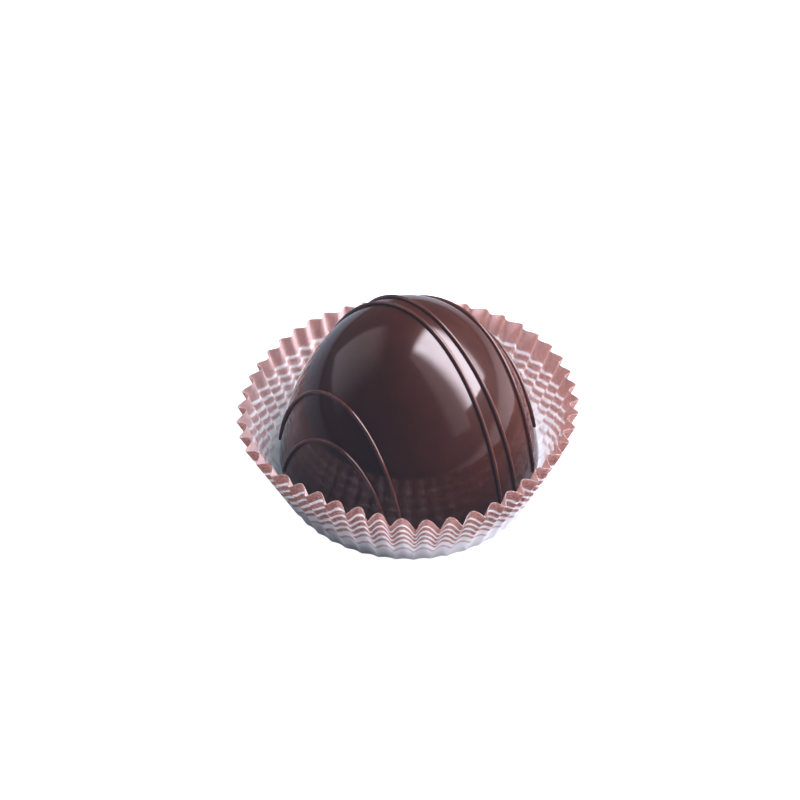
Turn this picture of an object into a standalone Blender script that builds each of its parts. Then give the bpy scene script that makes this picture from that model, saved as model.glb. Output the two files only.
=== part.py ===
"""Chocolate truffle in its pleated paper case.

The truffle is a smooth half-egg shell with a flat foot. Six thin threads of chocolate are
piped over it, side by side, from back left to front right. It stands in a low paper case
whose flared wall is folded into sharp pleats.

Units are metres, +Z is up and -Y is the front. The origin is the centre of the case's
underside, on the surface that it stands on.
"""
import math

import bmesh
import bpy
from mathutils import Vector

MM = 0.001

# Truffle: half an egg, whose widest level is at its foot before the foot is rounded off.
TRUFFLE_RADIUS = 15.3 * MM
TRUFFLE_HEIGHT = 23.1 * MM
TRUFFLE_FULLNESS = 1.77             # 2 is a half ellipsoid, less is more pointed at the top
FOOT_ROUND = 3.0 * MM               # radius of the rounded edge round the foot
TRUFFLE_SIDES = 64
DOME_ROWS = 13
FOOT_ROWS = 4

# Paper case: a flat floor, a rounded base edge and a straight flared wall with pleats.
CASE_BASE_RADIUS = 14.85 * MM       # where the wall's line meets the floor's level
WALL_SLANT = 11.4 * MM              # length of the wall, measured along the paper
WALL_FLARE = math.radians(23.1)     # lean of the outer folds, from upright
FOLD_LEAN = math.radians(4.6)       # how much steeper the inner folds stand
FOLD_DEPTH_AT_BASE = 0.1 * MM
BASE_EDGE_ROUND = 0.8 * MM
PAPER_THICKNESS = 0.2 * MM
PLEATS = 48
FIRST_PLEAT = math.radians(1.7)     # direction of the first outer fold
POINTS_PER_PLEAT = 5
INNER_FOLD_FLAT = 0.2               # share of a pleat's width that its inner fold takes
WALL_ROWS = 2
BASE_EDGE_ROWS = 2

# The wall leans out unevenly: waves round the rim, as (waves, lean, direction of a crest).
RIM_WAVES = (
    (1, math.radians(0.9), math.radians(-30)),
    (2, math.radians(1.0), math.radians(53)),
    (3, math.radians(1.4), math.radians(47)),
    (4, math.radians(1.5), math.radians(20)),
    (5, math.radians(0.8), math.radians(-15)),
)

# Threads: the direction in which they run, and for each one the level of its front end, its
# distance from the middle, its turn from that direction, and its bow aside at
# THREAD_BOW_SPAN from its middle.
THREAD_DIRECTION = math.radians(-47)
THREAD_WIDTH = 0.6 * MM
THREAD_HEIGHT = 0.5 * MM
THREAD_BOW_SPAN = 10.0 * MM
THREAD_END_LEVEL = 3.8 * MM         # height above the foot at which most threads stop
THREAD_STEPS = 36
THREAD_ARC_POINTS = 6
THREADS = (
    ("thread_1", THREAD_END_LEVEL, -12.7 * MM, math.radians(7.3), -0.32 * MM),
    ("thread_2", THREAD_END_LEVEL, -10.3 * MM, math.radians(-0.5), -0.31 * MM),
    ("thread_3", THREAD_END_LEVEL, 0.2 * MM, math.radians(3.0), -0.46 * MM),
    ("thread_4", THREAD_END_LEVEL, 1.85 * MM, math.radians(0.3), 0.4 * MM),
    ("thread_5", THREAD_END_LEVEL, 8.0 * MM, math.radians(6.2), -1.5 * MM),
    ("thread_6", 6.7 * MM, 11.7 * MM, 0.0, -1.35 * MM),
)

# Clear gaps between pieces that touch on the real thing.
TRUFFLE_GAP = 0.1 * MM
THREAD_GAP = 0.08 * MM

TRUFFLE_FOOT_LEVEL = PAPER_THICKNESS + TRUFFLE_GAP
SHARP_ANGLE = math.radians(50)


def clear_scene():
    """Remove every object that the file starts with."""
    for obj in list(bpy.data.objects):
        bpy.data.objects.remove(obj, do_unlink=True)


def make_material(name, colour, roughness):
    """A plain finish for one sub-part."""
    material = bpy.data.materials.new(name)
    material.use_nodes = True
    shader = material.node_tree.nodes["Principled BSDF"]
    shader.inputs["Base Color"].default_value = (*colour, 1.0)
    shader.inputs["Roughness"].default_value = roughness
    shader.inputs["Metallic"].default_value = 0.0
    return material


def add_object(name, mesh_builder, material, sharp_angle=SHARP_ANGLE):
    """Turn a bmesh into a named, smooth-shaded object."""
    mesh = bpy.data.meshes.new(name)
    mesh_builder.to_mesh(mesh)
    mesh_builder.free()
    mesh.materials.append(material)
    mesh.shade_smooth()
    mesh.set_sharp_from_angle(angle=sharp_angle)
    obj = bpy.data.objects.new(name, mesh)
    bpy.context.scene.collection.objects.link(obj)
    return obj


# ---- truffle -------------------------------------------------------------------------

def egg_radius(height):
    """Radius of the egg at a height above its foot."""
    return TRUFFLE_RADIUS * math.sqrt(1 - (height / TRUFFLE_HEIGHT) ** TRUFFLE_FULLNESS)


def egg_height(radius, lift):
    """Height above the foot of the egg grown by lift, at a distance from its axis."""
    share = 1 - (radius / (TRUFFLE_RADIUS + lift)) ** 2
    return (TRUFFLE_HEIGHT + lift) * share ** (1 / TRUFFLE_FULLNESS)


def truffle_profile():
    """Half section of the truffle, from the foot's centre to the top."""
    side = egg_radius(FOOT_ROUND)
    points = [(0.0, 0.0)]
    for row in range(FOOT_ROWS):
        angle = math.radians(90) * row / FOOT_ROWS
        points.append((side - FOOT_ROUND * (1 - math.sin(angle)),
                       FOOT_ROUND * (1 - math.cos(angle))))
    for row in range(DOME_ROWS):
        # Even steps of angle put more rows near the top, where the egg curves most.
        angle = math.radians(90) * row / DOME_ROWS
        height = FOOT_ROUND + (TRUFFLE_HEIGHT - FOOT_ROUND) * math.sin(angle)
        points.append((egg_radius(height), height))
    points.append((0.0, TRUFFLE_HEIGHT))
    return points


def make_truffle(material):
    """Spin the half section round the upright axis."""
    builder = bmesh.new()
    corners = [builder.verts.new((radius, 0, TRUFFLE_FOOT_LEVEL + height))
               for radius, height in truffle_profile()]
    edges = [builder.edges.new(pair) for pair in zip(corners, corners[1:])]
    bmesh.ops.spin(builder, geom=corners + edges, cent=(0, 0, 0), axis=(0, 0, 1),
                   angle=math.tau, steps=TRUFFLE_SIDES, use_merge=True)
    bmesh.ops.remove_doubles(builder, verts=builder.verts, dist=0.01 * MM)
    bmesh.ops.recalc_face_normals(builder, faces=builder.faces)
    return add_object("truffle", builder, material)


# ---- piped threads -------------------------------------------------------------------

def thread_spot(along, offset, turn, bow, lift):
    """Point of a thread on the egg: its plan curve, raised to the egg's surface."""
    forward = Vector((math.cos(THREAD_DIRECTION), math.sin(THREAD_DIRECTION)))
    across = Vector((-forward.y, forward.x))
    # The bow follows a hyperbola: round at the middle, and nearly straight at both ends.
    bend = (math.hypot(1, along / THREAD_BOW_SPAN) - 1) / (math.sqrt(2) - 1)
    aside = offset + along * math.tan(turn) + bow * bend
    plan = forward * along + across * aside
    return plan, egg_height(plan.length, lift) if plan.length < TRUFFLE_RADIUS + lift else 0.0


def thread_reach(direction, end_level, offset, turn, bow, lift):
    """How far a thread runs from its middle before it comes down to its end level."""
    near, far = 0.0, TRUFFLE_RADIUS
    for _ in range(40):
        middle = (near + far) / 2
        if thread_spot(direction * middle, offset, turn, bow, lift)[1] > end_level:
            near = middle
        else:
            far = middle
    return near


def thread_path(front_level, offset, turn, bow, lift):
    """Points along the thread, closer together where it runs down the sides."""
    back = thread_reach(-1, THREAD_END_LEVEL, offset, turn, bow, lift)
    front = thread_reach(1, front_level, offset, turn, bow, lift)
    middle = (front - back) / 2
    half = (front + back) / 2
    points = []
    for step in range(THREAD_STEPS + 1):
        along = middle - half * math.cos(math.pi * step / THREAD_STEPS)
        plan, height = thread_spot(along, offset, turn, bow, lift)
        points.append(Vector((plan.x, plan.y, TRUFFLE_FOOT_LEVEL + height)))
    return points


def egg_normal(point):
    """Direction straight out of the egg at a point on it."""
    height = max(point.z - TRUFFLE_FOOT_LEVEL, 0.0)
    rise = TRUFFLE_FULLNESS * (height / TRUFFLE_HEIGHT) ** (TRUFFLE_FULLNESS - 1) / TRUFFLE_HEIGHT
    spread = 2 / TRUFFLE_RADIUS ** 2
    return Vector((spread * point.x, spread * point.y, rise)).normalized()


def thread_section():
    """Half-round section on a flat bottom, as (sideways, outward) pairs."""
    points = []
    for step in range(THREAD_ARC_POINTS):
        angle = math.pi * step / (THREAD_ARC_POINTS - 1)
        points.append((THREAD_WIDTH / 2 * math.cos(angle), THREAD_HEIGHT * math.sin(angle)))
    return points


def make_thread(name, front_level, offset, turn, bow, material):
    """Sweep the half-round section along the thread's path on the egg."""
    path = thread_path(front_level, offset, turn, bow, THREAD_GAP)
    builder = bmesh.new()
    rings = []
    for index, point in enumerate(path):
        before = path[max(index - 1, 0)]
        after = path[min(index + 1, THREAD_STEPS)]
        outward = egg_normal(point)
        sideways = (after - before).cross(outward).normalized()
        rings.append([builder.verts.new(point + sideways * side + outward * height)
                      for side, height in thread_section()])
    for ring, following in zip(rings, rings[1:]):
        for index in range(THREAD_ARC_POINTS):
            other = (index + 1) % THREAD_ARC_POINTS
            builder.faces.new((ring[index], ring[other], following[other], following[index]))
    builder.faces.new(rings[0])
    builder.faces.new(rings[-1])
    bmesh.ops.recalc_face_normals(builder, faces=builder.faces)
    return add_object(name, builder, material)


# ---- paper case ----------------------------------------------------------------------

def fold_share(phase):
    """0 on a pleat's inner fold and 1 on its outer fold, for a phase of 0 to 1."""
    return max(0.0, (abs(1 - 2 * phase) - INNER_FOLD_FLAT) / (1 - INNER_FOLD_FLAT))


def wall_lean(angle, share):
    """Lean of the wall from upright, in one direction round the case."""
    wave = sum(lean * math.cos(count * (angle - crest)) for count, lean, crest in RIM_WAVES)
    return WALL_FLARE + wave - FOLD_LEAN * (1 - share)


def case_column(angle, share):
    """Points up the outside of the case in one direction: base edge, then wall."""
    lean = wall_lean(angle, share)
    corner = CASE_BASE_RADIUS - FOLD_DEPTH_AT_BASE * (1 - share)
    # The rounded edge touches the floor and the wall at the same distance from the corner.
    turn = math.radians(90) - lean
    tangent = BASE_EDGE_ROUND * math.tan(turn / 2)
    points = []
    for row in range(BASE_EDGE_ROWS):
        bend = turn * row / BASE_EDGE_ROWS
        points.append((corner - tangent + BASE_EDGE_ROUND * math.sin(bend),
                       BASE_EDGE_ROUND * (1 - math.cos(bend))))
    for row in range(WALL_ROWS + 1):
        slant = tangent + (WALL_SLANT - tangent) * row / WALL_ROWS
        points.append((corner + slant * math.sin(lean), slant * math.cos(lean)))
    return points


def make_paper_case(material):
    """Fold the wall column by column, close the floor and give the paper its thickness."""
    builder = bmesh.new()
    columns = []
    for pleat in range(PLEATS):
        for point in range(POINTS_PER_PLEAT):
            phase = point / POINTS_PER_PLEAT
            angle = FIRST_PLEAT + math.tau * (pleat + phase) / PLEATS
            columns.append([
                builder.verts.new((radius * math.cos(angle), radius * math.sin(angle), height))
                for radius, height in case_column(angle, fold_share(phase))])
    for column, following in zip(columns, columns[1:] + columns[:1]):
        for row in range(len(column) - 1):
            builder.faces.new((column[row], following[row], following[row + 1], column[row + 1]))
    builder.faces.new([column[0] for column in reversed(columns)])
    case = add_object("paper_case", builder, material, math.radians(30))
    thickness = case.modifiers.new("paper thickness", "SOLIDIFY")
    thickness.thickness = PAPER_THICKNESS
    thickness.offset = -1
    thickness.use_even_offset = True
    return case


def main():
    clear_scene()
    shell = make_material("chocolate_shell", (0.045, 0.018, 0.013), 0.18)
    piping = make_material("chocolate_piping", (0.075, 0.028, 0.018), 0.3)
    paper = make_material("printed_paper", (0.62, 0.45, 0.43), 0.6)
    make_truffle(shell)
    for name, front_level, offset, turn, bow in THREADS:
        make_thread(name, front_level, offset, turn, bow, piping)
    make_paper_case(paper)


main()
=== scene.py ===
# %% [markdown]
# # A chocolate truffle in its paper case
#
# The truffle is a moulded shell of dark chocolate, shaped like half an egg, with thin threads
# of chocolate piped over it. It stands in a low case of pleated paper, printed on the outside
# with copper-brown stripes that show through on the inside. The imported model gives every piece
# its size and place. This lesson makes the fine, finished version of each piece in the same
# space.

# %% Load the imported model
import math
import random

import bpy
from mathutils import Matrix, Vector


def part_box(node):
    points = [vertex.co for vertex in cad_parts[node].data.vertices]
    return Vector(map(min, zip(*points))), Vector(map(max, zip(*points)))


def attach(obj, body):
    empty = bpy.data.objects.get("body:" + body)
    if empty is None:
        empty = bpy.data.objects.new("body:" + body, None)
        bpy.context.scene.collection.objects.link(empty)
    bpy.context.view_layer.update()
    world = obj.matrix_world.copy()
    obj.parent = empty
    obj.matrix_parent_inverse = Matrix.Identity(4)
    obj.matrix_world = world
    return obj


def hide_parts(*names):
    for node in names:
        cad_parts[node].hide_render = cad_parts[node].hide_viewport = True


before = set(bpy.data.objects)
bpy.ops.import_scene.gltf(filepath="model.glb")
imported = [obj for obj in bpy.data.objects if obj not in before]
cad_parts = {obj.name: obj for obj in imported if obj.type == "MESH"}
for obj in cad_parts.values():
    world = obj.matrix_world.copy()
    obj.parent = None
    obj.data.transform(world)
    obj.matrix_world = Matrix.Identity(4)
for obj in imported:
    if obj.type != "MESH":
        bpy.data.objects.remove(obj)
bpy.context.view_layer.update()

MM = 0.001
TINY = 0.001 * MM        # closer than this, two points are the same
print("nodes:", sorted(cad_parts))

# %% [markdown]
# Operators act on whatever is selected, and loading leaves the model's own parts selected.
# So each piece starts with nothing selected. The other helpers name a piece, pick vertices by
# a rule, as a careful click would, and print what was made.


# %% Helpers for modelling by hand
def start_clean():
    """Leave edit mode and select nothing."""
    if bpy.context.object and bpy.context.object.mode != "OBJECT":
        bpy.ops.object.mode_set(mode="OBJECT")
    bpy.ops.object.select_all(action="DESELECT")


def name_piece(name):
    """Name the object that was just added, and its mesh."""
    piece = bpy.context.object
    piece.name = name
    piece.data.name = name
    return piece


def pick_vertices(piece, rule):
    """In edit mode, select just the vertices whose place fits the rule."""
    bpy.ops.mesh.select_mode(type="VERT")
    bpy.ops.mesh.select_all(action="DESELECT")
    bpy.ops.object.mode_set(mode="OBJECT")
    for vertex in piece.data.vertices:
        vertex.select = rule(vertex.co)
    bpy.ops.object.mode_set(mode="EDIT")


def describe(piece):
    """Print how large a piece is, how many faces it has and whether it is closed."""
    size = [round(side / MM, 2) for side in piece.dimensions]
    uses = {}
    for polygon in piece.data.polygons:
        for key in polygon.edge_keys:
            uses[key] = uses.get(key, 0) + 1
    state = "closed" if all(count == 2 for count in uses.values()) else "open"
    print(f"{piece.name}: {size} mm, {len(piece.data.polygons)} faces, {state}")


# %% [markdown]
# ## The chocolate shell
#
# The real shell is cast in a polished mould, so its surface is one clean curve. It could be
# sculpted from a sphere, but a turned outline is simpler and gives an even mesh: draw half of
# the outline once, then spin it round the upright axis. The outline is half an ellipse whose
# shoulders are drawn down a little, which makes it egg-shaped.

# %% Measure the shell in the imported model
shell_low, shell_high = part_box("truffle")
FOOT_LEVEL = shell_low.z
SHELL_HEIGHT = shell_high.z - shell_low.z
SHELL_SIDE = (shell_high.x - shell_low.x) / 2
SHELL_FULLNESS = 1.77    # 2 is a half ellipsoid, less is more pointed at the top
FOOT_ROUND = 3.0 * MM
# The egg is widest at its foot, but the rounded edge cuts that widest ring away.
SHELL_RADIUS = SHELL_SIDE / math.sqrt(1 - (FOOT_ROUND / SHELL_HEIGHT) ** SHELL_FULLNESS)
print(f"shell: {2 * SHELL_SIDE / MM:.1f} mm across, {SHELL_HEIGHT / MM:.1f} mm high")

# %% Draw the shell's outline
OUTLINE_POINTS = 288
start_clean()
bpy.ops.mesh.primitive_circle_add(vertices=OUTLINE_POINTS, radius=1,
                                  rotation=(math.radians(90), 0, 0))
shell = name_piece("dark_chocolate_shell")
bpy.ops.object.transform_apply(location=True, rotation=True, scale=True)
bpy.ops.object.mode_set(mode="EDIT")
bpy.ops.transform.resize(value=(SHELL_RADIUS, 1, SHELL_HEIGHT), center_override=(0, 0, 0))
bpy.ops.object.mode_set(mode="OBJECT")
for vertex in shell.data.vertices:
    share = max(vertex.co.z, 0) / SHELL_HEIGHT
    if share:
        vertex.co.z = SHELL_HEIGHT * share ** (2 / SHELL_FULLNESS)
bpy.ops.object.mode_set(mode="EDIT")
bpy.ops.mesh.select_all(action="SELECT")
bpy.ops.mesh.bisect(plane_co=(0, 0, FOOT_ROUND), plane_no=(0, 0, 1), clear_inner=True)
bpy.ops.mesh.select_all(action="SELECT")
bpy.ops.mesh.bisect(plane_co=(0, 0, 0), plane_no=(1, 0, 0), clear_inner=True)
bpy.ops.object.mode_set(mode="OBJECT")
print("points in the outline:", len(shell.data.vertices))

# %% Round the foot, then spin the outline into a shell
SHELL_STEPS = 192
FOOT_STEPS = 8
bpy.ops.object.mode_set(mode="EDIT")
pick_vertices(shell, lambda place: abs(place.z - FOOT_ROUND) < TINY)
bpy.ops.mesh.spin(steps=FOOT_STEPS, angle=math.radians(90), axis=(0, -1, 0),
                  center=(SHELL_SIDE - FOOT_ROUND, 0, FOOT_ROUND))
pick_vertices(shell, lambda place: abs(place.z) < TINY)
bpy.ops.mesh.extrude_region_move(
    TRANSFORM_OT_translate={"value": (FOOT_ROUND - SHELL_SIDE, 0, 0)})
bpy.ops.mesh.select_all(action="SELECT")
bpy.ops.transform.translate(value=(0, 0, FOOT_LEVEL))
bpy.ops.mesh.spin(steps=SHELL_STEPS, angle=math.tau, axis=(0, 0, 1), center=(0, 0, 0))
bpy.ops.mesh.select_all(action="SELECT")
bpy.ops.mesh.remove_doubles(threshold=TINY)
bpy.ops.mesh.normals_make_consistent(inside=False)
bpy.ops.object.mode_set(mode="OBJECT")
bpy.ops.object.shade_smooth()
describe(shell)

# %% [markdown]
# ## The piped threads
#
# A thin jet of melted chocolate was swung to and fro over the shell, so the threads run side
# by side, from back left to front right. They are round on top and melt into the shell below.
# Each one is a line on the shell: in plan almost straight, with a slight turn and bow, then
# lifted to the shell's height. A mesh point is extruded along that line, the line becomes a
# curve, and the curve gets a round thickness, which thins a little towards the ends and closes
# there in a blunt, rounded tip.

# %% Where each thread runs
THREAD_DIRECTION = math.radians(-47)
THREAD_BOW_SPAN = 10.0 * MM      # how far along from its middle a thread's bow is measured
THREAD_STEPS = 80
THREAD_RADIUS = 0.24 * MM
THREAD_LIFT = 0.10 * MM          # how far its middle lies above the shell
THREAD_BACK_LEVEL = 3.8 * MM     # height above the foot at which all the back ends stop
HALVINGS = 40                    # steps in which the place of an end is closed in on
# Name, height above the foot at which its front end stops, distance from the middle, turn from
# the common direction, and bow aside.
THREADS = (
    ("thread_1", 3.8 * MM, -12.7 * MM, math.radians(7.3), -0.32 * MM),
    ("thread_2", 3.8 * MM, -10.3 * MM, math.radians(-0.5), -0.31 * MM),
    ("thread_3", 3.8 * MM, 0.2 * MM, math.radians(3.0), -0.46 * MM),
    ("thread_4", 3.8 * MM, 1.85 * MM, math.radians(0.3), 0.4 * MM),
    ("thread_5", 3.8 * MM, 8.0 * MM, math.radians(6.2), -1.5 * MM),
    ("thread_6", 6.7 * MM, 11.7 * MM, 0.0, -1.35 * MM),
)


def thread_spot(along, offset, turn, bow):
    """Point on the shell at a distance along a thread, and its height above the foot."""
    forward = Vector((math.cos(THREAD_DIRECTION), math.sin(THREAD_DIRECTION)))
    across = Vector((-forward.y, forward.x))
    bend = (math.hypot(1, along / THREAD_BOW_SPAN) - 1) / (math.sqrt(2) - 1)
    plan = forward * along + across * (offset + along * math.tan(turn) + bow * bend)
    share = 1 - (plan.length / (SHELL_RADIUS + THREAD_LIFT)) ** 2
    height = (SHELL_HEIGHT + THREAD_LIFT) * max(share, 0) ** (1 / SHELL_FULLNESS)
    return Vector((plan.x, plan.y, FOOT_LEVEL + height)), height


def thread_reach(direction, end_level, *shape):
    """How far a thread runs one way before it comes down to a level."""
    near, far = 0.0, SHELL_RADIUS
    for _ in range(HALVINGS):
        middle = (near + far) / 2
        if thread_spot(direction * middle, *shape)[1] > end_level:
            near = middle
        else:
            far = middle
    return near


def thread_line(front_level, *shape):
    """Points along the thread, close together towards both ends."""
    back = thread_reach(-1, THREAD_BACK_LEVEL, *shape)
    front = thread_reach(1, front_level, *shape)
    middle, half = (front - back) / 2, (front + back) / 2
    return [thread_spot(middle - half * math.cos(math.pi * step / THREAD_STEPS), *shape)[0]
            for step in range(THREAD_STEPS + 1)]


# %% How thick a thread is
THREAD_UNEVENNESS = 0.05         # share by which the thickness comes and goes
LONG_SWELL = 3.1 * MM            # how slowly it does so: one slow wave
SHORT_SWELL = 1.3 * MM           # and a quicker one
THREAD_TAPER = 5.0 * MM          # length over which it thins towards an end
THREAD_END_SHARE = 0.56          # and how much of the thickness is left there
THREAD_TIP_SHARE = 0.02          # what the very tip keeps, so that it doesn't close to a point


def thread_thickness(walked, length, start):
    """Share of the full thickness at a distance along the thread, rounded at both ends."""
    to_end = min(walked, length - walked)
    into_tip = min(to_end / THREAD_RADIUS, 1)
    tip = max(math.sqrt(1 - (1 - into_tip) ** 2), THREAD_TIP_SHARE)
    taper = THREAD_END_SHARE + (1 - THREAD_END_SHARE) * min(to_end / THREAD_TAPER, 1)
    swell = math.sin(start + walked / LONG_SWELL) + math.sin(2 * start + walked / SHORT_SWELL)
    return tip * taper * (1 + THREAD_UNEVENNESS * swell / 2)


# %% Pipe the threads
THREAD_SECTION_STEPS = 4         # how finely its round section is divided
chance = random.Random(7)


def pipe_thread(name, *shape):
    """Extrude a point along the thread's line and give it its round thickness."""
    line = thread_line(*shape)
    start_clean()
    bpy.ops.mesh.primitive_plane_add(size=MM)
    name_piece(f"piped_{name}")
    bpy.ops.object.mode_set(mode="EDIT")
    bpy.ops.mesh.select_all(action="SELECT")
    bpy.ops.mesh.merge(type="CENTER")
    bpy.ops.transform.translate(value=line[0])
    for here, there in zip(line, line[1:]):
        bpy.ops.mesh.extrude_region_move(TRANSFORM_OT_translate={"value": there - here})
    bpy.ops.object.mode_set(mode="OBJECT")
    bpy.ops.object.convert(target="CURVE")
    piece = bpy.context.object
    points = piece.data.splines[0].points
    steps = [(points[i].co - points[i + 1].co).length for i in range(len(points) - 1)]
    start = chance.uniform(0, math.tau)
    for index, point in enumerate(points):
        point.radius = thread_thickness(sum(steps[:index]), sum(steps), start)
    piece.data.bevel_depth = THREAD_RADIUS
    piece.data.bevel_resolution = THREAD_SECTION_STEPS
    piece.data.use_fill_caps = True
    bpy.ops.object.convert(target="MESH")
    piece = bpy.context.object
    bpy.ops.object.mode_set(mode="EDIT")
    bpy.ops.mesh.select_all(action="SELECT")
    bpy.ops.mesh.remove_doubles(threshold=TINY)
    bpy.ops.mesh.normals_make_consistent(inside=False)
    bpy.ops.object.mode_set(mode="OBJECT")
    bpy.ops.object.shade_smooth()
    describe(piece)
    return piece


threads = {name: pipe_thread(name, *shape) for name, *shape in THREADS}

# %% [markdown]
# ## The pleated paper case
#
# A flat disc of paper is pressed into a cup, and the spare paper folds into 48 pleats. Each
# pleat has straight faces between rounded folds. Towards the front of the case the outer folds
# are sharper and the inner ones rounder. The pleats are deepest at the rim and fade out at the
# base. Copying one pleat round would make the case too perfect, so the whole cup is made first
# from a circle, row by row, and then all its vertices are moved into the folds, each pleat with
# its own small differences. Last comes the paper's thickness.

# %% Measure the case
CASE_BASE_RADIUS = 14.85 * MM    # where the wall's line meets the floor's level
WALL_SLANT = 11.4 * MM           # length of the wall, measured along the paper
WALL_FLARE = math.radians(23.1)  # lean of the outer folds, from upright
FOLD_LEAN = math.radians(4.6)    # how much steeper the inner folds stand
FOLD_DEPTH_AT_BASE = 0.12 * MM
BASE_EDGE_ROUND = 0.8 * MM
PLEATS = 48
FIRST_PLEAT = math.radians(1.7)
PLEAT = math.tau / PLEATS
# The wall leans out unevenly: waves round the rim, as (waves, lean, direction of a crest).
RIM_WAVES = (
    (1, math.radians(0.9), math.radians(-30)),
    (2, math.radians(1.0), math.radians(53)),
    (3, math.radians(1.4), math.radians(47)),
    (4, math.radians(1.5), math.radians(20)),
    (5, math.radians(0.8), math.radians(-15)),
)
case_low, case_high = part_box("paper_case")
print(f"case: {(case_high.x - case_low.x) / MM:.1f} mm across, {case_high.z / MM:.1f} mm high")

# %% Raise a plain cup, row by row
COLUMNS_PER_PLEAT = 20
COLUMNS = PLEATS * COLUMNS_PER_PLEAT
BASE_EDGE_ROWS = 5
WALL_ROWS = 15
ROWS = BASE_EDGE_ROWS + WALL_ROWS
ROW_STEP = WALL_SLANT / ROWS
start_clean()
bpy.ops.mesh.primitive_circle_add(vertices=COLUMNS, radius=CASE_BASE_RADIUS, fill_type="TRIFAN")
case = name_piece("pleated_paper_case")
bpy.ops.object.mode_set(mode="EDIT")
bpy.ops.mesh.select_mode(type="EDGE")
bpy.ops.mesh.select_non_manifold(extend=False)
for _ in range(ROWS):
    bpy.ops.mesh.extrude_region_move(TRANSFORM_OT_translate={"value": (0, 0, ROW_STEP)})
bpy.ops.object.mode_set(mode="OBJECT")
print("plain cup:", len(case.data.vertices), "vertices")

# %% Each pleat's own differences
FOLD_SHIFT = 0.07                # share of a pleat by which a fold may stray sideways
FOLD_VARIETY = 0.15              # share by which a pleat may be deeper or shallower
RIM_VARIETY = math.radians(0.25)
outer_shift = [chance.uniform(-FOLD_SHIFT, FOLD_SHIFT) for _ in range(PLEATS)]
inner_shift = [chance.uniform(-FOLD_SHIFT, FOLD_SHIFT) for _ in range(PLEATS)]
depth = [1 + chance.uniform(-FOLD_VARIETY, FOLD_VARIETY) for _ in range(PLEATS)]
lean_out = [chance.uniform(-RIM_VARIETY, RIM_VARIETY) for _ in range(PLEATS)]
print(f"pleats: {PLEATS}, from {min(depth):.2f} to {max(depth):.2f} of the usual depth")

# %% The shape of a pleat
# Shares of each face that bend into its two folds, at the back and at the front of the case.
INNER_FOLD_ROUND = (0.36, 0.75)
OUTER_FOLD_ROUND = (0.38, 0.20)
FRONT_SWELL = math.radians(1.1)  # how much further the outer folds lean out at the front
FRONT = math.radians(-90)


def blend(first, second, share):
    """Value between two others."""
    return first + (second - first) * share


def fold_share(phase, inner_round, outer_round):
    """1 on a pleat's outer fold and 0 on its inner one: straight faces between rounded folds."""
    from_inner = abs(1 - 2 * phase)
    if from_inner < inner_round:
        rise = from_inner ** 2 / (2 * inner_round)
    else:
        rise = from_inner - inner_round / 2
    rise -= max(outer_round - 1 + from_inner, 0) ** 2 / (2 * outer_round)
    return rise / (1 - inner_round / 2 - outer_round / 2)


def column_shape(column, height_share):
    """Direction, lean and fold share of a column of the wall."""
    pleat, place = divmod(column, COLUMNS_PER_PLEAT)
    following = (pleat + 1) % PLEATS
    phase = place / COLUMNS_PER_PLEAT
    inner = 0.5 + inner_shift[pleat]
    if phase < 0.5:
        stray = blend(outer_shift[pleat], inner, 2 * phase)
    else:
        stray = blend(inner, 1 + outer_shift[following], 2 * phase - 1)
    angle = FIRST_PLEAT + PLEAT * (pleat + blend(phase, stray, height_share))
    near_front = (1 + math.cos(angle - FRONT)) / 2
    share = fold_share(phase, blend(*INNER_FOLD_ROUND, near_front),
                       blend(*OUTER_FOLD_ROUND, near_front))
    wave = sum(lean * math.cos(count * (angle - crest)) for count, lean, crest in RIM_WAVES)
    wave += FRONT_SWELL * share * near_front
    lean = WALL_FLARE + wave + blend(lean_out[pleat], lean_out[following], phase)
    return angle, lean - FOLD_LEAN * depth[pleat] * (1 - share), share


# %% Where each vertex of the cup goes
def paper_spot(column, row):
    """Place of a vertex of the folded case, and its distance up along the paper."""
    angle, lean, share = column_shape(column, row / ROWS)
    corner = CASE_BASE_RADIUS - FOLD_DEPTH_AT_BASE * (1 - share)
    # The rounded edge touches the floor and the wall at the same distance from the corner.
    turn = math.radians(90) - lean
    tangent = BASE_EDGE_ROUND * math.tan(turn / 2)
    if row < BASE_EDGE_ROWS:
        bend = turn * row / BASE_EDGE_ROWS
        radius = corner - tangent + BASE_EDGE_ROUND * math.sin(bend)
        height = BASE_EDGE_ROUND * (1 - math.cos(bend))
        slant = tangent * row / BASE_EDGE_ROWS
    else:
        slant = blend(tangent, WALL_SLANT, (row - BASE_EDGE_ROWS) / WALL_ROWS)
        radius = corner + slant * math.sin(lean)
        height = slant * math.cos(lean)
    return Vector((radius * math.cos(angle), radius * math.sin(angle), height)), slant


# %% [markdown]
# The stripes are printed on the flat disc before it is pressed, so they follow the paper and
# not the height of the finished wall. A UV map on the mesh keeps that: across it counts the
# pleats, and up it is the distance along the paper, 0 at the base and 1 at the rim.

# %% Fold the cup
PRINT_SHIFT = 0.078              # share of the wall's length by which the print strays
PRINT_SHIFT_SIDE = math.radians(78)
PRINT_CENTRED = 0.30             # height along the paper at which it strays no longer
corners = {}


def print_place(column, up):
    """Where the print's own up and across fall, for a height share along the paper."""
    across = column / COLUMNS_PER_PLEAT
    side = math.cos(FIRST_PLEAT + PLEAT * across - PRINT_SHIFT_SIDE)
    return across, up + PRINT_SHIFT * side * (up - PRINT_CENTRED) / (1 - PRINT_CENTRED)


for vertex in case.data.vertices:
    if vertex.co.xy.length > TINY:
        turn_share = math.atan2(vertex.co.y, vertex.co.x) / math.tau % 1
        column = round(turn_share * COLUMNS) % COLUMNS
        row = round(vertex.co.z / ROW_STEP)
        vertex.co, slant = paper_spot(column, row)
        corners[vertex.index] = print_place(column, slant / WALL_SLANT)
print("folded vertices:", len(corners))

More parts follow.
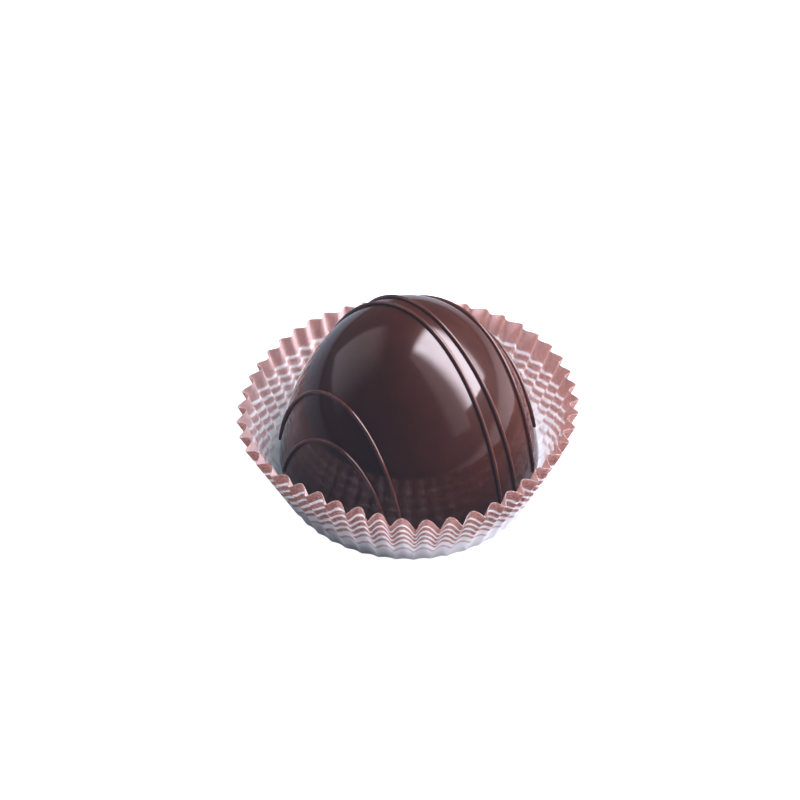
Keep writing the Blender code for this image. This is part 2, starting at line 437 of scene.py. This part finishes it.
# %% Map the paper
paper_map = case.data.uv_layers.new(name="along_the_paper")
for polygon in case.data.polygons:
    spots = [corners.get(case.data.loops[index].vertex_index, (0.0, 0.0))
             for index in polygon.loop_indices]
    crosses_seam = max(spot[0] for spot in spots) - min(spot[0] for spot in spots) > PLEATS / 2
    for index, (across, up) in zip(polygon.loop_indices, spots):
        if crosses_seam and across < PLEATS / 2:
            across += PLEATS
        paper_map.data[index].uv = (across, up)

# %% Give the paper its thickness
PAPER_THICKNESS = 0.07 * MM
CRISP_FOLD = math.radians(40)    # a fold that turns more than this isn't smoothed
bpy.ops.object.mode_set(mode="EDIT")
bpy.ops.mesh.select_all(action="SELECT")
bpy.ops.mesh.normals_make_consistent(inside=False)
bpy.ops.object.mode_set(mode="OBJECT")
bpy.ops.object.modifier_add(type="SOLIDIFY")
thickness = case.modifiers[-1]
thickness.thickness = PAPER_THICKNESS
thickness.offset = -1
thickness.use_even_offset = True
thickness.material_offset = 1            # the inside takes the second finish
thickness.material_offset_rim = 2        # and the cut edge takes the third
for _ in ("outside", "inside", "cut edge"):
    case.data.materials.append(None)
bpy.ops.object.modifier_apply(modifier=thickness.name)
bpy.ops.object.shade_smooth_by_angle(angle=CRISP_FOLD)
describe(case)

# %% [markdown]
# ## Finishes
#
# Both chocolates and the paper have a faint unevenness of their own: soft patches at one size
# or another. That is one effect with different values, so it is a node group, built once.


# %% Helpers for materials
def fill_node(node, **settings):
    """Change a node's settings; one that names an input of the node fills that input."""
    for name, value in settings.items():
        socket = node.inputs.get(name.replace("_", " "))
        if socket is None:
            setattr(node, name, value)
        else:
            socket.default_value = value
    return node


def add_node(tree, kind, **settings):
    """Add a node with its settings filled in."""
    return fill_node(tree.nodes.new(kind), **settings)


def new_finish(name):
    """A material with a bare Principled shader."""
    finish = bpy.data.materials.new(name)
    finish.use_nodes = True
    return finish, finish.node_tree, finish.node_tree.nodes["Principled BSDF"]


# %% Helpers that join nodes
def mix_colours(tree, share, first, second):
    """A colour on the way from the first to the second."""
    mixed = add_node(tree, "ShaderNodeMix", data_type="RGBA")
    mixed.inputs["A"].default_value = (*first, 1)
    mixed.inputs["B"].default_value = (*second, 1)
    tree.links.new(share, mixed.inputs["Factor"])
    return mixed.outputs["Result"]


def add_bump(tree, height, depth):
    """A normal that follows a height from 0 to 1, for a surface uneven by the depth."""
    bump = add_node(tree, "ShaderNodeBump", Strength=1.0, Distance=depth)
    tree.links.new(height, bump.inputs["Height"])
    return bump.outputs["Normal"]


# %% The patches group
patches = bpy.data.node_groups.new("soft patches", "ShaderNodeTree")
patches.interface.new_socket("Place", in_out="INPUT", socket_type="NodeSocketVector")
for label in ("Patches per metre", "Detail", "Low", "High"):
    patches.interface.new_socket(label, in_out="INPUT", socket_type="NodeSocketFloat")
patches.interface.new_socket("Value", in_out="OUTPUT", socket_type="NodeSocketFloat")
inside = add_node(patches, "NodeGroupInput")
outside = add_node(patches, "NodeGroupOutput")
cloud = add_node(patches, "ShaderNodeTexNoise", Roughness=0.55)
spread = add_node(patches, "ShaderNodeMapRange", From_Min=0.3, From_Max=0.7)
for label, socket in (("Place", cloud.inputs["Vector"]),
                      ("Patches per metre", cloud.inputs["Scale"]),
                      ("Detail", cloud.inputs["Detail"]),
                      ("Low", spread.inputs["To Min"]),
                      ("High", spread.inputs["To Max"])):
    patches.links.new(inside.outputs[label], socket)
patches.links.new(cloud.outputs["Fac"], spread.inputs["Value"])
patches.links.new(spread.outputs["Result"], outside.inputs["Value"])


def add_patches(tree, place, per_metre, detail, low=0.0, high=1.0):
    """Place the patches group in a material and return its value."""
    node = add_node(tree, "ShaderNodeGroup", node_tree=patches, Patches_per_metre=per_metre,
                    Detail=detail, Low=low, High=high)
    tree.links.new(place, node.inputs["Place"])
    return node.outputs["Value"]


# %% [markdown]
# Well tempered chocolate has two kinds of gloss at once. Its skin is polished and mirrors the
# windows of light sharply, and the cocoa just below spreads the same light into a wide glow.
# So the base is fairly rough, under a thin, smooth coat.


# %% Chocolate
def make_chocolate(name, light, dark, roughness, coat_roughness, wave_height):
    """Chocolate in two close tones, with soft patches and a barely wavy surface."""
    finish, tree, shader = new_finish(name)
    place = add_node(tree, "ShaderNodeTexCoord").outputs["Object"]
    light_share = add_patches(tree, place, per_metre=420, detail=5.0)
    tree.links.new(mix_colours(tree, light_share, dark, light), shader.inputs["Base Color"])
    low, high = roughness
    dullness = add_patches(tree, place, per_metre=900, detail=4.0, low=low, high=high)
    tree.links.new(dullness, shader.inputs["Roughness"])
    waves = add_bump(tree, add_patches(tree, place, per_metre=260, detail=1.0), wave_height)
    tree.links.new(waves, shader.inputs["Normal"])
    tree.links.new(waves, shader.inputs["Coat Normal"])
    fill_node(shader, IOR=1.45, Specular_IOR_Level=0.15,
              Coat_Weight=1.0, Coat_Roughness=coat_roughness, Coat_IOR=1.45)
    return finish


shell_finish = make_chocolate(
    "polished dark chocolate", light=(0.037, 0.0118, 0.0066), dark=(0.030, 0.0094, 0.0052),
    roughness=(0.36, 0.46), coat_roughness=0.07, wave_height=0.012 * MM)
# The threads are the same chocolate as the shell, given lighter tones: painted light, for the
# light that catches their round tops.
thread_finish = make_chocolate(
    "piped chocolate", light=(0.074, 0.029, 0.022), dark=(0.058, 0.022, 0.016),
    roughness=(0.34, 0.42), coat_roughness=0.18, wave_height=0.02 * MM)
shell.data.materials.append(shell_finish)
for piece in threads.values():
    piece.data.materials.append(thread_finish)
print("chocolate:", shell_finish.name, "and", thread_finish.name)

# %% [markdown]
# The case is thin, smooth white paper with a slight coating. The print is a wide band at the
# rim and five thinner ones below, each narrower than the last. It is on the outside, and it
# shows through on the inside, paler. The same map of the paper gives both sides their stripes.
# Noise makes the edges of the print waver a little, and breaks its colour with the grain of
# the fibres. Light also passes through paper this thin, so a Translucent shader shares the
# surface with the Principled one. The cut edge at the rim is darker, and little light passes.

# %% The colours and stripes of the paper
PAPER_WHITE = (0.83, 0.83, 0.84)
PRINT_OUTSIDE = (0.30, 0.101, 0.063)
PRINT_INSIDE = (0.51, 0.365, 0.365)
PRINT_ON_EDGE = (0.09, 0.045, 0.037)
# The print tints the light that passes through the paper once, on its way in or out.
PRINT_THROUGH = (0.48, 0.19, 0.125)
PAPER_LETS_THROUGH = 0.52
EDGE_LETS_THROUGH = 0.05
EDGE_SHINE = 0.1
FIBRE_HEIGHT = 0.012 * MM
# Each stripe of print: where it starts and ends, as shares of the way down from the rim, and
# how dense it is. The first one starts well above the rim, so that the rim has no white edge.
STRIPES = (
    (-1.0, 0.193, 1.0),
    (0.232, 0.305, 1.0),
    (0.343, 0.405, 1.0),
    (0.447, 0.506, 0.95),
    (0.554, 0.601, 0.85),
    (0.684, 0.722, 0.6),
)
STRIPE_SOFTNESS = 0.006
STRIPE_WAVER = 0.008


# %% The print by the paper's own map
def add_stripes(tree, place):
    """How dense the print is, by the paper's own map, between edges that waver."""
    paper_uv = add_node(tree, "ShaderNodeUVMap", uv_map="along_the_paper")
    split = add_node(tree, "ShaderNodeSeparateXYZ")
    tree.links.new(paper_uv.outputs["UV"], split.inputs["Vector"])
    rim = add_patches(tree, place, per_metre=1300, detail=2.0,
                      low=1 - STRIPE_WAVER, high=1 + STRIPE_WAVER)
    down = add_node(tree, "ShaderNodeMath", operation="SUBTRACT")
    tree.links.new(rim, down.inputs[0])
    tree.links.new(split.outputs["Y"], down.inputs[1])
    stripes = add_node(tree, "ShaderNodeValToRGB")
    ramp = stripes.color_ramp
    ramp.elements.remove(ramp.elements[-1])
    ramp.elements[0].position = 0
    ramp.elements[0].color = (1, 1, 1, 1)
    for start, end, density in STRIPES:
        for edge, value in ((start - STRIPE_SOFTNESS, 0), (start + STRIPE_SOFTNESS, density),
                            (end - STRIPE_SOFTNESS, density), (end + STRIPE_SOFTNESS, 0)):
            if edge > 0:
                ramp.elements.new(edge).color = (value, value, value, 1)
    tree.links.new(down.outputs["Value"], stripes.inputs["Fac"])
    return stripes.outputs["Color"]


# %% Printed paper
def multiply(tree, first, second):
    """The product of two values."""
    product = add_node(tree, "ShaderNodeMath", operation="MULTIPLY")
    tree.links.new(first, product.inputs[0])
    tree.links.new(second, product.inputs[1])
    return product.outputs["Value"]


def mix_shaders(tree, share, first, second):
    """Two shaders in one. The share of the second is a number or another node's value."""
    mixed = add_node(tree, "ShaderNodeMixShader")
    if isinstance(share, float):
        mixed.inputs["Fac"].default_value = share
    else:
        tree.links.new(share, mixed.inputs["Fac"])
    tree.links.new(first, mixed.inputs[1])
    tree.links.new(second, mixed.inputs[2])
    return mixed.outputs["Shader"]


def make_paper(name, print_colour, through_colour, lets_through):
    """White paper with stripes of one colour, which tint the light that passes with another."""
    finish, tree, shader = new_finish(name)
    place = add_node(tree, "ShaderNodeTexCoord").outputs["Object"]
    grain = add_patches(tree, place, per_metre=3800, detail=3.0, low=0.62, high=1.0)
    print_share = multiply(tree, add_stripes(tree, place), grain)
    surface_colour = mix_colours(tree, print_share, PAPER_WHITE, print_colour)
    tree.links.new(surface_colour, shader.inputs["Base Color"])
    dullness = add_patches(tree, place, per_metre=2400, detail=3.0, low=0.36, high=0.5)
    tree.links.new(dullness, shader.inputs["Roughness"])
    fibres = add_bump(tree, add_patches(tree, place, per_metre=4200, detail=3.0), FIBRE_HEIGHT)
    tree.links.new(fibres, shader.inputs["Normal"])
    through = add_node(tree, "ShaderNodeBsdfTranslucent")
    tint = mix_colours(tree, print_share, PAPER_WHITE, through_colour)
    tree.links.new(tint, through.inputs["Color"])
    sheet = mix_shaders(tree, lets_through, shader.outputs["BSDF"], through.outputs["BSDF"])
    tree.links.new(sheet, tree.nodes["Material Output"].inputs["Surface"])
    return finish


for index, values in enumerate((
        ("paper printed outside", PRINT_OUTSIDE, PRINT_THROUGH, PAPER_LETS_THROUGH),
        ("paper with print showing through", PRINT_INSIDE, PAPER_WHITE, PAPER_LETS_THROUGH),
        ("cut edge of the paper", PRINT_ON_EDGE, PRINT_THROUGH, EDGE_LETS_THROUGH))):
    case.data.materials[index] = make_paper(*values)
edge_shader = case.data.materials[-1].node_tree.nodes["Principled BSDF"]
edge_shader.inputs["Specular IOR Level"].default_value = EDGE_SHINE
print("paper:", ", ".join(finish.name for finish in case.data.materials))

# %% [markdown]
# ## Floor, light and camera
#
# A plain pale floor, with a tall softbox at the right as the key, which fades into a dim edge,
# and a dim panel at the left. The shell is a curved mirror, so each of them shows as its own
# shape in the chocolate. The floor shows in it as a painted reflection: a band that glows by
# itself, brightest towards the key. The other lights don't show in the polish. They stand low
# round about, and one high at the back, and light the thin paper from both sides, so that its
# faces differ and the print glows a little.
#
# The floor has three looks, one for each kind of ray: pale with a faint shadow where it is
# seen itself; a painted reflection, a coloured band that glows by itself, where the polish
# mirrors it; and everywhere else a surface painted lighter towards the key and near the case, a
# painted pool of light, which throws light back at the paper.


# %% Helpers for the floor and the lights
def measure_along(tree, place, direction):
    """How far a place lies in a direction."""
    along = add_node(tree, "ShaderNodeVectorMath", operation="DOT_PRODUCT")
    along.inputs[1].default_value = direction
    tree.links.new(place, along.inputs[0])
    return along.outputs["Value"]


def map_value(tree, value, start, end, low=0.0, high=1.0, **settings):
    """A value that goes from low to high while the given one goes from start to end."""
    mapped = add_node(tree, "ShaderNodeMapRange", From_Min=start, From_Max=end,
                      To_Min=low, To_Max=high, **settings)
    tree.links.new(value, mapped.inputs["Value"])
    return mapped.outputs["Result"]


# %% Lay the floor
FLOOR_SIZE = 6.0
start_clean()
bpy.ops.mesh.primitive_plane_add(size=FLOOR_SIZE)
floor = name_piece("floor")
floor_finish, floor_tree, floor_shader = new_finish("pale floor")
fill_node(floor_shader, Base_Color=(0.80, 0.80, 0.82, 1), Roughness=0.9,
          Specular_IOR_Level=0.2)
floor.data.materials.append(floor_finish)

# %% What the floor throws back: its colour is painted lighter on the side of the key and near the case, a painted pool of light
FLOOR_COLOUR = (0.86, 0.86, 0.88)
KEY_SIDE = (0.995, -0.10, 0)
floor_place = add_node(floor_tree, "ShaderNodeTexCoord").outputs["Object"]
# painted pool of light: the floor's colour is lighter on the side of the key, and near the case
painted_pool_on_key_side = map_value(floor_tree, measure_along(floor_tree, floor_place, KEY_SIDE),
                     start=-0.05, end=0.07, low=0.4, high=0.85)
from_middle = add_node(floor_tree, "ShaderNodeVectorMath", operation="LENGTH")
floor_tree.links.new(floor_place, from_middle.inputs[0])
near_case = map_value(floor_tree, from_middle.outputs["Value"],
                      start=0.15, end=0.35, low=1.0, high=0.15)
painted_pool_colour = add_node(floor_tree, "ShaderNodeVectorMath", operation="SCALE", Vector=FLOOR_COLOUR)
floor_tree.links.new(multiply(floor_tree, painted_pool_on_key_side, near_case), painted_pool_colour.inputs["Scale"])
painted_pool_floor = add_node(floor_tree, "ShaderNodeBsdfDiffuse")
floor_tree.links.new(painted_pool_colour.outputs["Vector"], painted_pool_floor.inputs["Color"])

# %% The floor as the polished shell mirrors it: a painted reflection, which glows by itself
# The direction in degrees, and the painted light there.
PAINTED_FLOOR_REFLECTION = (
    (-179, (0.37, 0.41, 0.48)), (-150, (0.20, 0.21, 0.24)), (-60, (0.40, 0.38, 0.40)),
    (-20, (1.45, 1.32, 1.42)), (18, (1.45, 1.32, 1.42)), (36, (0.92, 0.82, 0.90)),
    (47, (0.55, 0.49, 0.54)), (60, (0.28, 0.27, 0.31)), (78, (0.50, 0.52, 0.60)),
    (115, (0.38, 0.43, 0.51)), (179, (0.37, 0.41, 0.48)),
)
round_about = add_node(floor_tree, "ShaderNodeTexGradient", gradient_type="RADIAL")
floor_tree.links.new(floor_place, round_about.inputs["Vector"])
painted_reflection_ramp = add_node(floor_tree, "ShaderNodeValToRGB")
for direction, colour in PAINTED_FLOOR_REFLECTION:
    stop = painted_reflection_ramp.color_ramp.elements.new((direction + 180) / 360)
    stop.color = (*colour, 1)
for first_or_last in (0, -1):
    painted_reflection_ramp.color_ramp.elements.remove(painted_reflection_ramp.color_ramp.elements[first_or_last])
floor_tree.links.new(round_about.outputs["Fac"], painted_reflection_ramp.inputs["Fac"])
# painted reflection: where the polish mirrors it, the floor glows by itself in these colours,
# fading away from the case
painted_reflection_glow = add_node(floor_tree, "ShaderNodeEmission")
floor_tree.links.new(painted_reflection_ramp.outputs["Color"], painted_reflection_glow.inputs["Color"])
floor_tree.links.new(near_case, painted_reflection_glow.inputs["Strength"])

# %% Join the floor's three looks
FLOOR_GLOW = 0.72                # share of the floor that shines by itself, so shadows are faint
ray = add_node(floor_tree, "ShaderNodeLightPath")
lit = mix_shaders(floor_tree, ray.outputs["Is Glossy Ray"],
                  painted_pool_floor.outputs["BSDF"], painted_reflection_glow.outputs["Emission"])
glow = add_node(floor_tree, "ShaderNodeEmission", Strength=1.0)
pale = mix_shaders(floor_tree, FLOOR_GLOW, floor_shader.outputs["BSDF"], glow.outputs["Emission"])
seen = mix_shaders(floor_tree, ray.outputs["Is Camera Ray"], lit, pale)
floor_tree.links.new(seen, floor_tree.nodes["Material Output"].inputs["Surface"])
print("floor:", len(floor_tree.nodes), "nodes in its finish")


# %% Helpers for softboxes
def fade_edges(lamp, fades):
    """Dim a softbox: each fade is a direction across it, where it is dark and where bright."""
    lamp.data.use_nodes = True
    tree = lamp.data.node_tree
    spot = add_node(tree, "ShaderNodeNewGeometry").outputs["Parametric"]
    strength = None
    for direction, dark, bright in fades:
        fade = map_value(tree, measure_along(tree, spot, (*direction, 0)), dark, bright,
                         interpolation_type="SMOOTHSTEP")
        strength = fade if strength is None else multiply(tree, strength, fade)
    tree.links.new(strength, tree.nodes["Emission"].inputs["Strength"])


def hang_panel(name, low_end, high_end, sideways, width, radiance, colour, fades=()):
    """A rectangular softbox between two points, facing the truffle."""
    low_end, high_end, sideways = Vector(low_end), Vector(high_end), Vector(sideways)
    middle = (low_end + high_end) / 2
    upward = (high_end - low_end).normalized()
    sideways = (sideways - upward * sideways.dot(upward)).normalized()
    back = sideways.cross(upward)
    if back.dot(middle) < 0:
        sideways, back = -sideways, -back
    start_clean()
    bpy.ops.object.light_add(type="AREA", location=middle)
    lamp = bpy.context.object
    lamp.name = name
    lamp.rotation_euler = Matrix((sideways, upward, back)).transposed().to_euler()
    lamp.data.shape = "RECTANGLE"
    lamp.data.size = width
    lamp.data.size_y = (high_end - low_end).length
    lamp.data.energy = radiance * math.pi * width * lamp.data.size_y
    lamp.data.color = colour
    if fades:
        fade_edges(lamp, fades)
    return lamp


# %% The lights that show in the polish
KEY_SIDEWAYS = (0.389, 0.914, -0.114)
hang_panel("key softbox", (0.575, -0.053, 0.152), (0.144, 0.209, 0.779), KEY_SIDEWAYS,
           width=0.715, radiance=12.8, colour=(0.95, 0.92, 1.0),
           fades=[((1, 0.24), 0.17, 0.40), ((1, 0), 1.0, 0.665), ((0, 1), 1.0, 0.78)])
key_edge = hang_panel("key's dim edge", (0.472, -0.376, 0.110), (0.065, -0.091, 0.756),
                      KEY_SIDEWAYS, width=0.26, radiance=0.9, colour=(0.93, 0.93, 1.0),
                      fades=[((1, 0.5), 0.0, 0.5)])
dim_panel = hang_panel("dim panel", (-0.771, 0.122, 0.090), (-0.267, 0.042, 0.752),
                       (-0.156, -0.988, 0), width=0.85, radiance=1.1, colour=(0.97, 0.95, 1.0),
                       fades=[((1, 0), 0.0, 0.14), ((1, 0), 1.0, 0.4),
                              ((0, 1), 0.95, 0.62), ((0, 1), 0.0, 0.08)])
for lamp in (key_edge, dim_panel):
    lamp.visible_diffuse = False         # these two only show in the polished chocolate

# %% The lights that the paper and the cocoa catch
LOW_END, HIGH_END = 0.042, 0.376         # heights of the low lights' ends
LEAN_IN = 0.88                           # their upper end's distance as a share of the lower's
LOW_LIGHT_WIDTH = 0.6
WHITE_LIGHT, COOL_LIGHT = (1, 1, 1), (0.86, 1, 1.05)
paper_lights = [
    hang_panel(name, (x, y, LOW_END), (LEAN_IN * x, LEAN_IN * y, HIGH_END), (-y, x, 0),
               LOW_LIGHT_WIDTH, radiance, colour)
    for name, (x, y), radiance, colour in (
        ("low right light", (0.79, -0.10), 2.5, WHITE_LIGHT),
        ("low light at the back right", (0.62, 0.50), 3.3, WHITE_LIGHT),
        ("low back light", (-0.12, 0.80), 4.6, WHITE_LIGHT),
        ("low light at the back left", (-0.67, 0.45), 5.6, COOL_LIGHT),
        ("low left light", (-0.75, -0.28), 0.8, COOL_LIGHT))]
paper_lights.append(hang_panel("high light at the back right", (0.46, 0.50, 0.34),
                               (0.20, 0.24, 0.70), (-0.74, 0.67, 0),
                               width=0.5, radiance=2.2, colour=(1, 0.98, 1)))
for lamp in paper_lights:
    lamp.visible_glossy = False          # these don't show in the polish

# %% The dim room round about
ROOM_LIGHT, ROOM_IN_POLISH = 0.06, 0.18
world = bpy.data.worlds.new("soft room")
bpy.context.scene.world = world
world.use_nodes = True
room = world.node_tree.nodes["Background"]
room.inputs["Color"].default_value = (0.88, 0.90, 1.0, 1)
room_ray = add_node(world.node_tree, "ShaderNodeLightPath")
room_light = map_value(world.node_tree, room_ray.outputs["Is Glossy Ray"],
                       start=0, end=1, low=ROOM_LIGHT, high=ROOM_IN_POLISH)
world.node_tree.links.new(room_light, room.inputs["Strength"])

# %% [markdown]
# The exposure is set a little bright, for a white floor. A curve lifts black to a bluish grey
# and deepens the dark tones above it, so that the chocolate stays dark and rich.

# %% Exposure
DARKEST = (0.024, 0.025, 0.033)  # red, green and blue that black is lifted to
TOE = 0.03                       # how far up the dark tones are deepened
CURVE_TONES = (0.01, 0.02, 0.04, 0.07, 0.11, 0.17, 0.26, 0.4, 0.6, 0.8)
view = bpy.context.scene.view_settings
view.view_transform = "Standard"
view.exposure = 0.45
view.gamma = 0.82
view.use_curve_mapping = True
for curve, lift in zip(view.curve_mapping.curves, DARKEST):
    curve.points[0].location = (0, lift)
    curve.points[1].location = (1, 1)
    for tone in CURVE_TONES:
        curve.points.new(tone, lift + tone * tone / (tone + TOE))
view.curve_mapping.update()
print("darkest tone:", DARKEST)

# %% Camera
CAMERA_HEIGHT_ANGLE = math.radians(42.18)
CAMERA_DISTANCE = 210.9 * MM
CAMERA_ROLL = math.radians(-0.37)
CAMERA_LENS = 82.3
OBJECT_MIDDLE = Vector((0, 0, 6.75)) * MM
CAMERA_AIM = Vector((-1.02, 2.06, 9.02)) * MM
away = Vector((0, -math.cos(CAMERA_HEIGHT_ANGLE), math.sin(CAMERA_HEIGHT_ANGLE)))
start_clean()
bpy.ops.object.camera_add(location=OBJECT_MIDDLE + away * CAMERA_DISTANCE)
camera = bpy.context.object
facing = (CAMERA_AIM - camera.location).to_track_quat("-Z", "Y").to_matrix()
camera.rotation_euler = (facing @ Matrix.Rotation(CAMERA_ROLL, 3, "Z")).to_euler()
camera.data.lens = CAMERA_LENS
camera.data.clip_start = 0.01
bpy.context.scene.camera = camera
print(f"camera: {CAMERA_DISTANCE / MM:.0f} mm away, {CAMERA_LENS} mm lens")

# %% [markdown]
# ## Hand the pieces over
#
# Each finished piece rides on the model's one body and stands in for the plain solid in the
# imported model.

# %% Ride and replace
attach(shell, "root")
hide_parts("truffle")
for name, piece in threads.items():
    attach(piece, "root")
    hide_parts(name)
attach(case, "root")
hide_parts("paper_case")
